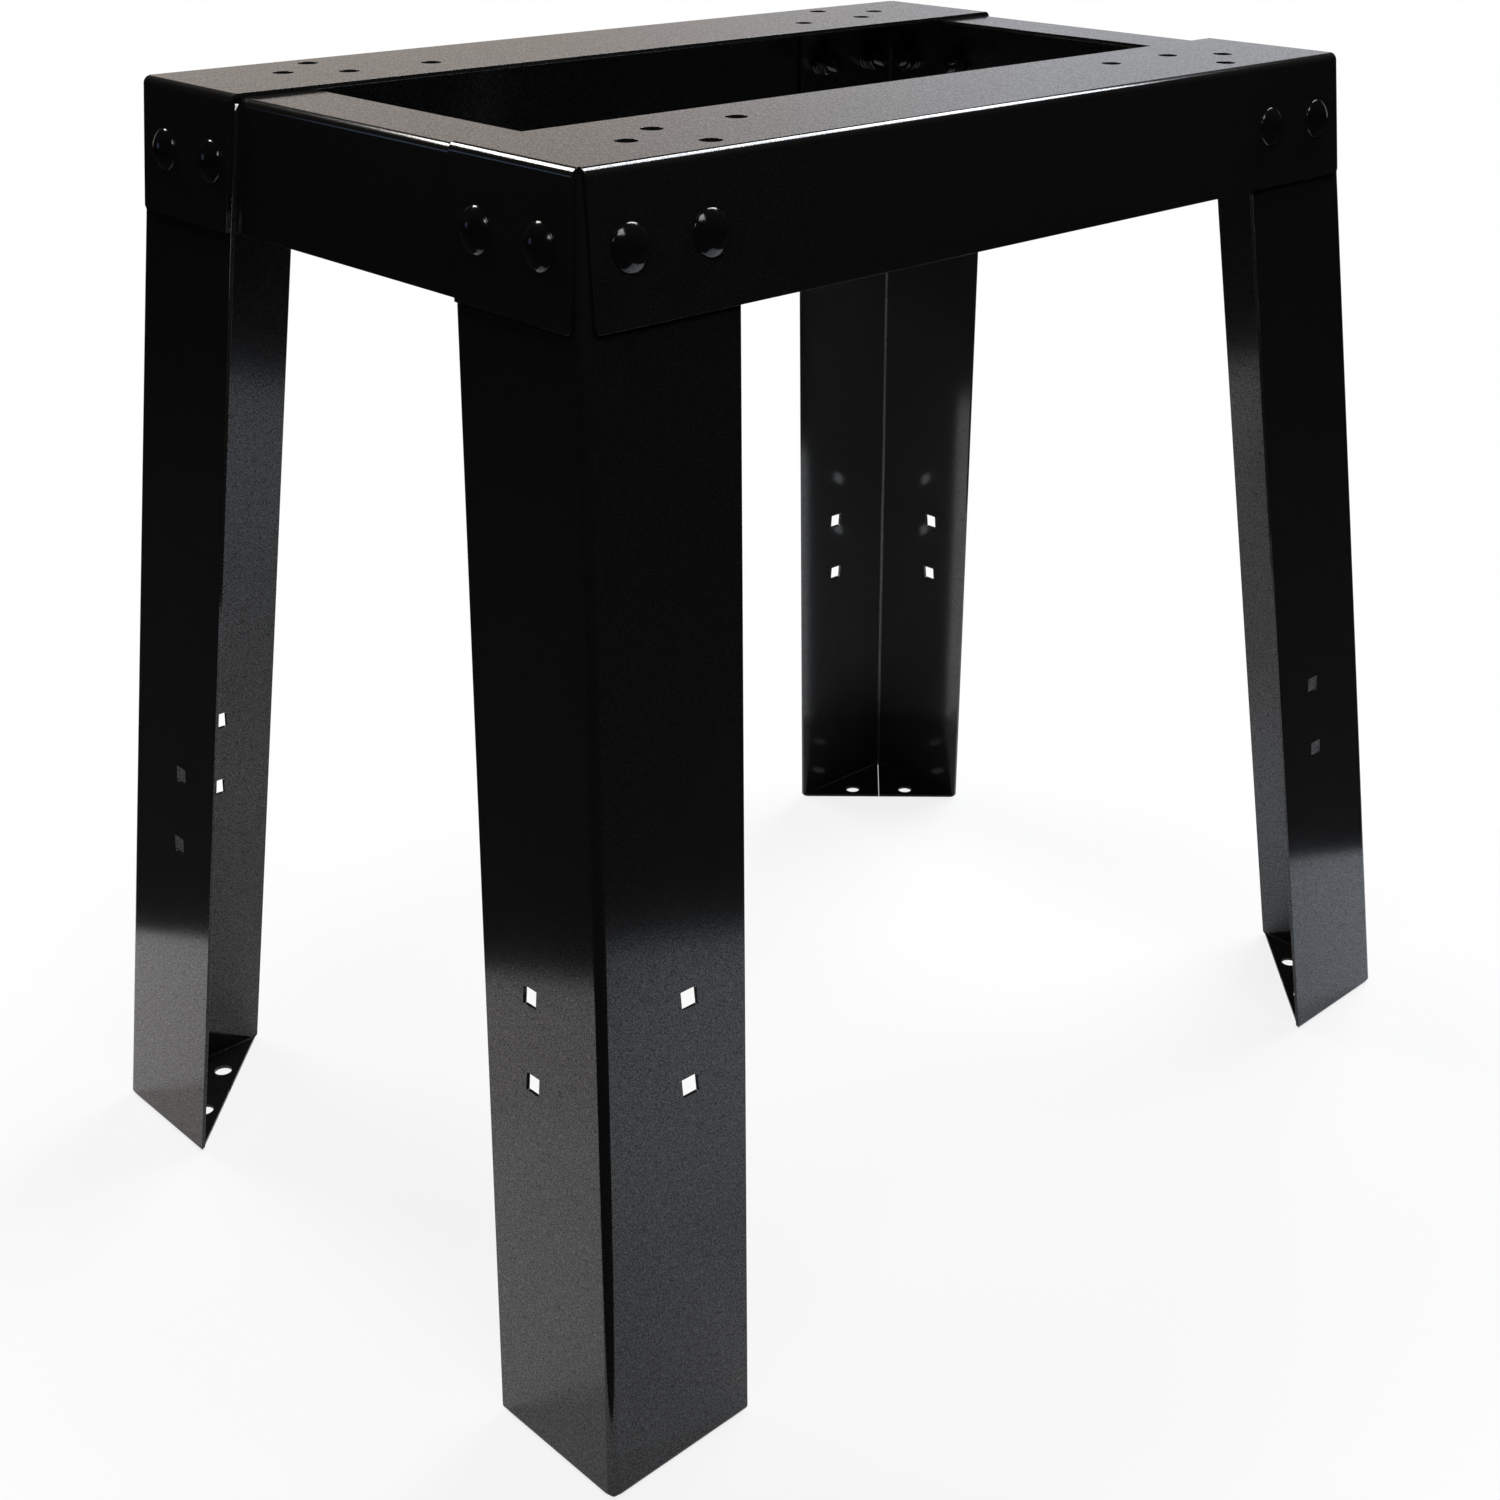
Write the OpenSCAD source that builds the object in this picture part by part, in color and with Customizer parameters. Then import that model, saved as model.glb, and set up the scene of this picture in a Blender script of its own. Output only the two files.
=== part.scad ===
// Open stand for a thickness planer: a bolted top frame of folded sheet steel on four splayed angle legs.
// X runs along the two long rails, Y across the stand, and Z is up from the floor.
// The origin is on the floor, at the middle of the footprint.

/* [Top frame] */
// Length of the top frame along the long rails, over the outer faces at the top edge
top_length = 521; // [480:1:640]
// Width of the top frame across the stand, over the outer faces at the top edge
top_width = 337; // [320:1:440]
// Height of the top surface above the floor
stand_height = 585; // [450:1:900]
// Height of the rails, from the top surface to the lower edge of their sides
rail_drop = 63.5; // [58:0.5:90]
// Width of a long rail's top flange, which is also the width of its end tabs
rail_flange = 84; // [78:0.5:95]
// Reach of an end rail's top flange, from the outer end face of the frame
end_flange = 44; // [30:0.5:46]
// Gap between each end of an end rail and the outer face of the long rail beside it
end_rail_gap = 9; // [8:0.5:11]

/* [Sheet metal] */
// Thickness of the steel sheet of rails and legs
sheet = 2; // [1.6:0.1:2.2]
// Inside radius of the folds
fold_radius = 2; // [1:0.25:3]
// Angle of the sides and the legs from the vertical
splay = 5.65; // [3:0.05:8]
// Radius of the relief hole where the folds end at each top corner
corner_relief = 1; // [0.5:0.25:3]
// How far skirt and tab stop short of the corner at their lower end
corner_cut = 7; // [4:0.5:9]
// Bevel at the lower end of each of those open edges
corner_bevel = 2; // [1:0.5:4]

/* [Tool mounting holes] */
// Diameter of the holes in the top flanges
tool_hole_d = 10; // [7:0.5:11]
// Distance of the first hole from the end of the frame
hole_end_1 = 55; // [52:0.5:60]
// Distance of the first hole from the long outer edge
hole_edge_1 = 38; // [34:0.5:42]
// Distance of the second pair of holes from the end of the frame
hole_end_2 = 82; // [78:0.5:90]
// Distance of the outer hole of that pair from the long outer edge
hole_edge_2 = 16.5; // [15:0.5:20]
// Distance of the inner row of holes from the long outer edge
hole_edge_3 = 54; // [52:0.5:60]
// Distance of the innermost hole from the end of the frame
hole_end_3 = 130; // [120:0.5:150]

/* [Legs] */
// Width of each leg flange, measured square to the fold
leg_flange = 82.5; // [80:0.5:92]
// Gap between the top of a leg and the flange above it
leg_top_gap = 0.5; // [0.3:0.1:2]
// Outside radius of the fold between a leg face and its foot flap
foot_fold_r = 3; // [2:0.25:4]
// Width of the mitre slit between the two foot flaps of a leg
foot_slit = 0.8; // [0.4:0.1:1.5]
// Distance from the leg's corner to the start of that slit, along the diagonal
foot_slit_start = 12; // [8:0.5:15]
// Diameter of the anchor holes in the foot flaps
foot_hole_d = 10; // [7:0.5:11]
// Distance of a foot hole from the face that its flap is folded from
foot_hole_in = 21; // [16:0.5:24]
// Distance of a foot hole from the other face of the leg
foot_hole_along = 49; // [44:0.5:50]
// Distance of the shelf holes from the corner of the leg
shelf_hole_in = 49.7; // [40:0.1:60]
// Height of the lower shelf hole above the floor
shelf_hole_z = 184.4; // [100:0.1:300]
// Height difference between the two shelf holes of a face
shelf_hole_pitch = 41.8; // [30:0.1:60]

/* [Fasteners] */
// Distance of the first bolt from the corner of the top frame
bolt_edge = 22.3; // [21:0.1:24]
// Distance between the two bolts of a face
bolt_pitch = 42; // [36:0.5:46]
// Depth of the bolts below the top surface
bolt_drop = 32.3; // [28:0.1:34]
// Thread diameter of the carriage bolts
bolt_d = 8; // [6:0.5:8]
// Length of the carriage bolts under the head
bolt_length = 20; // [20:1:26]
// Diameter of the domed bolt heads
head_d = 20; // [16:0.5:21]
// Height of the domed bolt heads
head_h = 4.4; // [3:0.1:5.5]
// Height of the straight rim of the bolt heads
head_rim = 0.6; // [0.3:0.1:1]
// Width of the square bolt necks over the flats, beyond the thread diameter
neck_extra = 0.5; // [0.2:0.1:1]
// Bevel at the threaded end of the bolts
bolt_bevel = 0.8; // [0.4:0.1:1.2]
// Play of the square bolt necks in their holes, over the flats
neck_play = 0.5; // [0.2:0.1:0.8]
// Play of the round holes over the bolt shanks, on the diameter
shank_play = 1; // [0.5:0.1:1.5]
// Outer diameter of the flat washers
washer_d = 16; // [14:0.5:18]
// Thickness of the flat washers
washer_h = 1.6; // [1:0.1:2]
// Outer diameter of the spring lock washers
lock_washer_d = 14.4; // [12.5:0.1:15]
// Thickness of the spring lock washers
lock_washer_h = 2; // [1.5:0.1:2.2]
// Width of the split in the lock washers
lock_split = 1.4; // [0.8:0.1:2]
// Width of the nuts over the flats
nut_flats = 13; // [12:0.5:14]
// Height of the nuts
nut_h = 6.5; // [5:0.1:7]
// Play of the nuts and washers over the bolts, on the diameter
thread_play = 0.1; // [0.06:0.02:0.2]

/* [Hidden] */
$fn = 96;

outer_fold = fold_radius + sheet;
lean = tan(splay);
leg_top = stand_height - outer_fold - leg_top_gap;
rail_bottom = stand_height - rail_drop;
// Each half of a fold is drawn past the fold's middle, so that the two halves join
fold_share = 0.6;
// Turn of the folds: flange to side, one leg flange to the other, and leg face to foot flap
side_bend = 90 - splay;
corner_bend = 180 - acos(-pow(sin(splay), 2));
foot_bend = 90 + splay;
// Distance from the sharp corner of a fold to the flat sheet beside it
side_setback = outer_fold * tan(side_bend / 2);
corner_setback = outer_fold * tan(corner_bend / 2);
foot_setback = foot_fold_r * tan(foot_bend / 2);
// Tilt of the line where two side faces meet, and widths along that slanted line and square to it
corner_tilt = atan(sqrt(2) * lean);
slant = sqrt((1 + 2 * pow(lean, 2)) / (1 + pow(lean, 2)));
foot_w = leg_flange * slant;
// The neck of a bolt is as long as the two sheets that it locks
neck_w = bolt_d + neck_extra;
neck_h = 2 * sheet;
square_hole = neck_w + neck_play;
round_hole = bolt_d + shank_play;
// Sheets that the bolts of the front and of the end faces hold together
front_sheets = 2;
end_sheets = 3;
// Turn of the split of the lock washers
split_turn = 60;
// Margins of cutting and filling shapes
over = 10;
reach = 2 * stand_height;
// The foot folds are cut this much deeper than they need, to leave a clean edge
overcut = 0.01;
steel_black = [0.06, 0.06, 0.065];
hardware_black = [0.09, 0.09, 0.1];

// Place of a side face at a height, for a frame of half width half, depth measured inwards square to it
function face_at(half, z, depth) = half + lean * (stand_height - z) - depth / cos(splay);
// Corner of a leg on the floor, on each axis
foot_x = face_at(top_length / 2, 0, sheet);
foot_y = face_at(top_width / 2, 0, sheet);

// One side of a fold along Z: flat sheet along +X, and a little over half of the curve behind it
module half_fold(length, width, bend) {
    translate([0, fold_radius, 0])
        cube([length, sheet, width]);
    rotate([0, 0, 90])
        rotate_extrude(angle = fold_share * bend)
            translate([fold_radius, 0])
                square([sheet, width]);
}

// Folded sheet with the axis of its fold along Z: length_a runs along +X, length_b turns away behind it
module folded_sheet(length_a, length_b, width, bend) {
    half_fold(length_a, width, bend);
    rotate([0, 0, bend])
        mirror([1, 0, 0])
            half_fold(length_b, width, bend);
}

// Flange and side of one edge of the top frame, under the top plane and behind the front face
module edge_fold(half, top_depth, side_depth, flange, width) {
    drop = (rail_drop - top_depth) / cos(splay) - side_setback;
    edge = face_at(half, stand_height - top_depth, side_depth);
    translate([-width / 2, side_setback - edge, stand_height - top_depth - outer_fold])
        rotate([90, 0, 90])
            folded_sheet(flange, drop, width, side_bend);
}

// Frame on the front face: +X along the rail, +Y up the face, +Z outwards, origin at the top edge
module on_front() {
    translate([0, -top_width / 2, stand_height])
        rotate([90 - splay, 0, 0])
            children();
}

// The same frame on the left end face, where +X points to the front
module on_left() {
    rotate([0, 0, -90])
        translate([0, -top_length / 2, stand_height])
            rotate([90 - splay, 0, 0])
                children();
}

// Frame at the front left corner at a height: +X inwards along the diagonal, +Y towards the back
module at_corner(z, depth) {
    translate([-face_at(top_length / 2, z, depth), -face_at(top_width / 2, z, depth), z])
        rotate([0, 0, 45])
            children();
}

// The same frame with +Z along the line where the side faces meet
module along_corner(z, depth) {
    at_corner(z, depth)
        rotate([0, corner_tilt, 0])
            children();
}

// The bolt places of the front left corner, on the front face and on the left end face
module at_front_bolts() {
    for (i = [0, 1])
        on_front()
            translate([-top_length / 2 + bolt_edge + i * bolt_pitch, -bolt_drop / cos(splay), 0])
                children();
}

module at_left_bolts() {
    for (i = [0, 1])
        on_left()
            translate([top_width / 2 - bolt_edge - i * bolt_pitch, -bolt_drop / cos(splay), 0])
                children();
}

module square_cutter() {
    cube([square_hole, square_hole, over * sheet], center = true);
}

module round_cutter() {
    cylinder(d = round_hole, h = over * sheet, center = true);
}

// Everything to the left of a plane through the Y axis, whose lower part is turned to the left
module past_plane(turn) {
    rotate([0, turn, 0])
        translate([-reach, -reach / 2, -reach / 2])
            cube(reach);
}

// Everything past the left end of a side face of this half length: the face stops where the folds
// cross at the top and a little further out below, which leaves the corner open in a narrow V
module past_end(half) {
    low = corner_cut - rail_drop * lean;
    translate([side_setback - half, 0, stand_height])
        past_plane(atan((side_setback - low) / rail_drop));
    translate([low + corner_bevel - half, 0, rail_bottom])
        past_plane(-45);
}

// Relief hole where the two folds of a long rail's corner would cross
module corner_relief_hole() {
    translate([side_setback - top_length / 2, side_setback - top_width / 2, stand_height])
        cylinder(r = corner_relief, h = 2 * outer_fold, center = true);
}

// Tab folded down from the left end of the long flange, with its inner edge along the leg's edge
module end_tab() {
    difference() {
        rotate([0, 0, -90])
            edge_fold(top_length / 2, 0, 0, side_setback, top_width + 2 * rail_drop);
        mirror([1, -1, 0]) past_end(top_width / 2);
        along_corner(stand_height, 0)
            rotate([0, 0, 90 - corner_bend / 2])
                translate([rail_flange / slant, -over, -reach / 2])
                    cube([reach, 2 * over, reach]);
    }
}

// Tool mounting holes of the front left quarter
module tool_holes() {
    places = [
        [hole_end_1, hole_edge_1],
        [hole_end_2, hole_edge_2],
        [hole_end_2, hole_edge_3],
        [hole_end_3, hole_edge_3]
    ];
    for (p = places)
        translate([-top_length / 2 + p[0], -top_width / 2 + p[1], stand_height - sheet / 2])
            cylinder(d = tool_hole_d, h = 2 * sheet, center = true);
}

// Long rail: flange on top, side skirt, and a tab folded down at each end, all one sheet
module front_rail() {
    flat = [top_length - 2 * side_setback, rail_flange - side_setback, sheet];
    color(steel_black)
        difference() {
            union() {
                translate([-flat[0] / 2, side_setback - top_width / 2, stand_height - sheet])
                    cube(flat);
                difference() {
                    edge_fold(top_width / 2, 0, 0, side_setback, top_length + 2 * rail_drop);
                    past_end(top_length / 2);
                    mirror([1, 0, 0]) past_end(top_length / 2);
                }
                end_tab();
                mirror([1, 0, 0]) end_tab();
            }
            for (side = [0, 1])
                mirror([side, 0, 0]) {
                    tool_holes();
                    corner_relief_hole();
                    at_front_bolts() square_cutter();
                    at_left_bolts() square_cutter();
                }
        }
}

// End rail: flange under the long rails' flanges and a skirt inside the leg flanges
module left_end_rail() {
    top_edge = face_at(top_length / 2, stand_height - sheet, 2 * sheet);
    flange = end_flange - top_length / 2 + top_edge - side_setback;
    color(steel_black)
        difference() {
            intersection() {
                rotate([0, 0, -90])
                    edge_fold(top_length / 2, sheet, 2 * sheet, flange, top_width);
                cube([reach, top_width - 2 * end_rail_gap, reach], center = true);
            }
            for (side = [0, 1])
                mirror([0, side, 0])
                    at_left_bolts() round_cutter();
        }
}

// Two triangular foot flaps, folded in from the leg faces and mitred along the diagonal
module foot_flaps() {
    inset = sheet / 2;
    difference() {
        at_corner(0, sheet)
            rotate([0, 0, -45])
                linear_extrude(sheet)
                    polygon([[inset, inset], [foot_w - inset, inset], [inset, foot_w - inset]]);
        at_corner(0, sheet) {
            translate([foot_slit_start, -foot_slit / 2, -over])
                cube([foot_w, foot_slit, 2 * over]);
            for (side = [0, 1])
                mirror([0, side, 0])
                    rotate([0, 0, -45])
                        translate([foot_hole_along, foot_hole_in, 0])
                            cylinder(d = foot_hole_d, h = over, center = true);
        }
    }
}

// Cutter that rounds the fold between a leg face and its foot flap, for a leg corner at x, y
module foot_rounding(x, y) {
    centre = [foot_setback, foot_fold_r];
    outer = (foot_fold_r + sheet) * [-cos(splay), sin(splay)];
    translate([-x - over, -y, 0])
        rotate([90, 0, 90])
            linear_extrude(foot_w + 2 * over)
                difference() {
                    polygon([centre, [centre[0], -sheet], [-2 * sheet, -sheet], centre + outer]);
                    translate(centre) circle(r = foot_fold_r - overcut);
                }
}

// Shelf holes of one leg face, in that face's own frame, with +X running away from the corner
module shelf_holes(half) {
    for (z = [shelf_hole_z, shelf_hole_z + shelf_hole_pitch])
        translate([-face_at(half, z, sheet) + shelf_hole_in, -(stand_height - z) / cos(splay), 0])
            square_cutter();
}

// Leg: one straight angle of folded sheet, bolted inside the long rails, with its foot flaps
module front_left_leg() {
    color(steel_black)
        difference() {
            union() {
                intersection() {
                    along_corner(0, sheet)
                        translate([outer_fold / cos(corner_bend / 2), 0, -over / 2])
                            rotate([0, 0, corner_bend / 2 - 90])
                                mirror([0, 1, 0])
                                    folded_sheet(
                                        leg_flange - corner_setback,
                                        leg_flange - corner_setback,
                                        leg_top / cos(corner_tilt) + 2 * over,
                                        corner_bend
                                    );
                    translate([-reach, -reach, 0])
                        cube([2 * reach, 2 * reach, leg_top]);
                }
                foot_flaps();
            }
            foot_rounding(foot_x, foot_y);
            rotate([0, 0, -90]) mirror([1, 0, 0]) foot_rounding(foot_y, foot_x);
            at_front_bolts() square_cutter();
            at_left_bolts() square_cutter();
            on_front() shelf_holes(top_length / 2);
            on_left() mirror([1, 0, 0]) shelf_holes(top_width / 2);
        }
}

// Carriage bolt with its seat at the origin and its head towards +Z
module carriage_bolt() {
    dome_h = head_h - head_rim;
    dome_r = (pow(head_d / 2, 2) + pow(dome_h, 2)) / (2 * dome_h);
    cylinder(d = head_d, h = head_rim);
    intersection() {
        translate([0, 0, head_h - dome_r]) sphere(r = dome_r);
        translate([0, 0, head_rim]) cylinder(d = head_d, h = head_h);
    }
    translate([-neck_w / 2, -neck_w / 2, -neck_h]) cube([neck_w, neck_w, neck_h]);
    translate([0, 0, bolt_bevel - bolt_length]) cylinder(d = bolt_d, h = bolt_length - bolt_bevel);
    translate([0, 0, -bolt_length]) cylinder(d1 = bolt_d - 2 * bolt_bevel, d2 = bolt_d, h = bolt_bevel);
}

// Flat washer on the inside of a stack of sheets
module flat_washer(sheets) {
    translate([0, 0, -sheets * sheet - washer_h])
        difference() {
            cylinder(d = washer_d, h = washer_h);
            cylinder(d = bolt_d + thread_play, h = 4 * washer_h, center = true);
        }
}

// Split spring washer, tightened flat on the flat washer
module lock_washer(sheets) {
    translate([0, 0, -sheets * sheet - washer_h - lock_washer_h])
        difference() {
            cylinder(d = lock_washer_d, h = lock_washer_h);
            cylinder(d = bolt_d + thread_play, h = 4 * lock_washer_h, center = true);
            rotate([0, 0, split_turn])
                translate([0, -lock_split / 2, -lock_washer_h])
                    cube([lock_washer_d, lock_split, 3 * lock_washer_h]);
        }
}

// Hexagon nut with both faces bevelled at the corners
module hex_nut(sheets) {
    corner_d = nut_flats / cos(30);
    bevel = (corner_d - nut_flats) / 2 * tan(30);
    translate([0, 0, -sheets * sheet - washer_h - lock_washer_h - nut_h])
        difference() {
            intersection() {
                cylinder(d = corner_d, h = nut_h, $fn = 6);
                union() {
                    cylinder(d1 = nut_flats, d2 = corner_d, h = bevel);
                    translate([0, 0, bevel]) cylinder(d = corner_d, h = nut_h - 2 * bevel);
                    translate([0, 0, nut_h - bevel]) cylinder(d1 = corner_d, d2 = nut_flats, h = bevel);
                }
            }
            cylinder(d = bolt_d + thread_play, h = 4 * nut_h, center = true);
        }
}

module front_left_bolts() {
    color(hardware_black) {
        at_front_bolts() carriage_bolt();
        at_left_bolts() carriage_bolt();
    }
}

module front_left_washers() {
    color(hardware_black) {
        at_front_bolts() flat_washer(front_sheets);
        at_left_bolts() flat_washer(end_sheets);
    }
}

module front_left_lock_washers() {
    color(hardware_black) {
        at_front_bolts() lock_washer(front_sheets);
        at_left_bolts() lock_washer(end_sheets);
    }
}

module front_left_nuts() {
    color(hardware_black) {
        at_front_bolts() hex_nut(front_sheets);
        at_left_bolts() hex_nut(end_sheets);
    }
}

module to_right() {
    mirror([1, 0, 0]) children();
}

module to_back() {
    mirror([0, 1, 0]) children();
}

front_rail();
to_back() front_rail();  // back_rail
left_end_rail();
to_right() left_end_rail();  // right_end_rail
front_left_leg();
to_right() front_left_leg();  // front_right_leg
to_back() front_left_leg();  // back_left_leg
to_back() to_right() front_left_leg();  // back_right_leg
front_left_bolts();
to_right() front_left_bolts();  // front_right_bolts
to_back() front_left_bolts();  // back_left_bolts
to_back() to_right() front_left_bolts();  // back_right_bolts
front_left_washers();
to_right() front_left_washers();  // front_right_washers
to_back() front_left_washers();  // back_left_washers
to_back() to_right() front_left_washers();  // back_right_washers
front_left_lock_washers();
to_right() front_left_lock_washers();  // front_right_lock_washers
to_back() front_left_lock_washers();  // back_left_lock_washers
to_back() to_right() front_left_lock_washers();  // back_right_lock_washers
front_left_nuts();
to_right() front_left_nuts();  // front_right_nuts
to_back() front_left_nuts();  // back_left_nuts
to_back() to_right() front_left_nuts();  // back_right_nuts
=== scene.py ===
# %% [markdown]
# # A planer stand in black enamelled sheet steel
# This lesson dresses a bolted stand: two long rails and two end rails on four splayed angle legs.
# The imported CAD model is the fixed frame. Each steel part is drawn again as one folded sheet with
# rolled folds and eased edges, because the enamel is so glossy that every edge shows as a line of light.

# %% Load the frame
import math

import bpy
import numpy as np
from mathutils import Matrix, Vector
from mathutils.geometry import delaunay_2d_cdt


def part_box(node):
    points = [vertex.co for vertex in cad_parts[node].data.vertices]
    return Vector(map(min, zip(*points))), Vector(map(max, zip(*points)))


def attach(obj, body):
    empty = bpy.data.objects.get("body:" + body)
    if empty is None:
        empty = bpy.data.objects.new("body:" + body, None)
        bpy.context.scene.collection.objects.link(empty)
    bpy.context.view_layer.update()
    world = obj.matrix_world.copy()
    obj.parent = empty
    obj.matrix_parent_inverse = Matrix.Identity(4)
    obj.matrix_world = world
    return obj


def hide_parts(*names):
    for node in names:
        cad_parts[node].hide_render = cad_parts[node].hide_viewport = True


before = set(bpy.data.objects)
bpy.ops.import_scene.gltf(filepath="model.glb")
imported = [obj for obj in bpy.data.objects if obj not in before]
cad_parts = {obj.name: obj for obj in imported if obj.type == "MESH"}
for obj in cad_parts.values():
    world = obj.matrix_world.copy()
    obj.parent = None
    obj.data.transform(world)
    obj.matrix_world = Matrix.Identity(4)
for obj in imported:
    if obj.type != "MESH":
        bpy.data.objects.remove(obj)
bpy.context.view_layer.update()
print("nodes:", len(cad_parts))

# %% [markdown]
# ## The sizes of the stand
# Lengths are in millimetres here, as on a workshop drawing, and become metres only when a mesh is
# made. LONG and WIDE are measured over the top, and DROP is the height of its sides. The sides and the
# legs lean by one angle, the splay, so one slope serves them all.

# %% Sizes shared by all steel parts
MM = 0.001
LONG, WIDE, HIGH = 521.0, 337.0, 585.0
DROP, SHEET, FOLD_R = 63.5, 2.0, 4.0
SPLAY = math.radians(5.65)
LEAN = math.tan(SPLAY)
SIDE_TURN = math.pi / 2 - SPLAY
SETBACK = FOLD_R * math.tan(SIDE_TURN / 2)
SIDE_ARC = FOLD_R * SIDE_TURN
SIDE_END = SIDE_ARC + DROP / math.cos(SPLAY) - SETBACK
BOLT_EDGE, BOLT_PITCH, BOLT_DROP = 22.3, 42.0, 32.3
SQUARE_HOLE, ROUND_HOLE, LARGE_HOLE = 9.0, 9.0, 10.0
FOOT_X = LONG / 2 + LEAN * HIGH - SHEET / math.cos(SPLAY)
FOOT_Y = WIDE / 2 + LEAN * HIGH - SHEET / math.cos(SPLAY)
print("fold:", round(SIDE_ARC, 2), "mm of sheet, side ends at", round(SIDE_END, 2), "mm")

# %% [markdown]
# ## Sheet metal from its flat pattern
# A sheet-metal shop cuts a flat pattern and folds it. The same can be done with a mesh: an outline with
# its holes is drawn flat, a function of two parameters folds every point into space, and a third
# number, the depth under the outer face, gives the sheet its thickness. A subdivision cage or a
# Solidify modifier could also make the plates, but the flat pattern keeps the faces truly flat and
# the folds truly round, and gloss forgives neither.

# %% Outlines of holes, and the directions into the material
LEAST_OPENING = 0.45


def ring_hole(centre, diameter, steps=40):
    """Points of a circle, run clockwise: centre plus radius times cosine and minus sine of the angle."""
    turn = np.linspace(0, 2 * np.pi, steps, endpoint=False)
    return np.column_stack([np.cos(turn), -np.sin(turn)]) * diameter / 2 + centre


def square_hole(centre, side, steps=9):
    """Points of a square, run clockwise, with several points on each side."""
    walk = np.linspace(-0.5, 0.5, steps, endpoint=False)
    half = np.full(steps, 0.5)
    across = np.concatenate([-half, walk, half, -walk])
    up = np.concatenate([walk, half, -walk, -half])
    return np.column_stack([across, up]) * side + centre


def into_material(loop):
    """For each point of a closed loop, the direction to its left that moves both its edges in by 1:
    the sum of the two edge normals over half of that sum's squared length. LEAST_OPENING bounds that
    half from below, so a very sharp corner doesn't shoot off."""
    ahead = np.roll(loop, -1, axis=0) - loop
    ahead /= np.linalg.norm(ahead, axis=1, keepdims=True)
    after = np.column_stack([-ahead[:, 1], ahead[:, 0]])
    both = after + np.roll(after, 1, axis=0)
    return both / np.maximum((both ** 2).sum(1, keepdims=True) / 2, LEAST_OPENING)


def inside_loops(points, loops):
    """Even-odd rule: a point is inside if a line from it to the right crosses the edges an odd
    number of times."""
    crossings = np.zeros(len(points), int)
    for loop in loops:
        a, b = loop, np.roll(loop, -1, axis=0)
        y = points[:, 1:2]
        spans = (a[:, 1] > y) != (b[:, 1] > y)
        rise = np.where(b[:, 1] == a[:, 1], 1e-9, b[:, 1] - a[:, 1])
        at = a[:, 0] + (y - a[:, 1]) * (b[:, 0] - a[:, 0]) / rise
        crossings += (spans & (points[:, 0:1] < at)).sum(1)
    return crossings % 2 == 1


print("a hole's middle is inside:", inside_loops(np.zeros((1, 2)), [square_hole(0, SQUARE_HOLE)]))

# %% [markdown]
# ## One closed sheet
# The two flat faces are filled with triangles by Blender's constrained triangulation. Lines laid along
# each fold keep a triangle from spanning a curve. A narrow band of flat sheet beside every rounded edge
# keeps the shading of the plate flat right up to the edge. The edges themselves are eased by EASE, as a
# coat of paint rounds them.

# %% Fill a flat face
EASE, BAND, TINY = 0.15, 0.3, 0.002
MERGE = 1e-5


def fill_flat(loops, lines):
    """Triangles inside the loops, with the lines kept as edges. Returns extra points and triangles,
    which count the loops' points first and the lines' points after them."""
    points = np.concatenate(loops + lines)
    edges, start = [], 0
    for part in loops + lines:
        count = len(part)
        index = np.arange(count)
        closed = len(edges) < len(loops)
        pairs = np.column_stack([index, (index + 1) % count]) + start
        edges.append(pairs if closed else pairs[:-1])
        start += count
    flat = [Vector(p) for p in points.tolist()]
    out = delaunay_2d_cdt(flat, np.concatenate(edges).tolist(), [], 1, MERGE, True)
    source = np.array([origin[0] for origin in out[3]])
    faces = source[np.array(out[2])]
    middle = points[faces].mean(1)
    return points[sum(len(a) for a in loops):], faces[inside_loops(middle, loops)]


# %% Lengths and normals
def unit(vectors):
    """Each vector over its own length."""
    return vectors / np.maximum(np.linalg.norm(vectors, axis=1, keepdims=True), 1e-12)


def outward(fold, flat, depth):
    """The folded sheet's normal: the cross product of its slopes along the pattern's two axes."""
    slopes = [fold(flat + step, depth) - fold(flat - step, depth) for step in ([TINY, 0], [0, TINY])]
    return unit(np.cross(*slopes))


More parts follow.
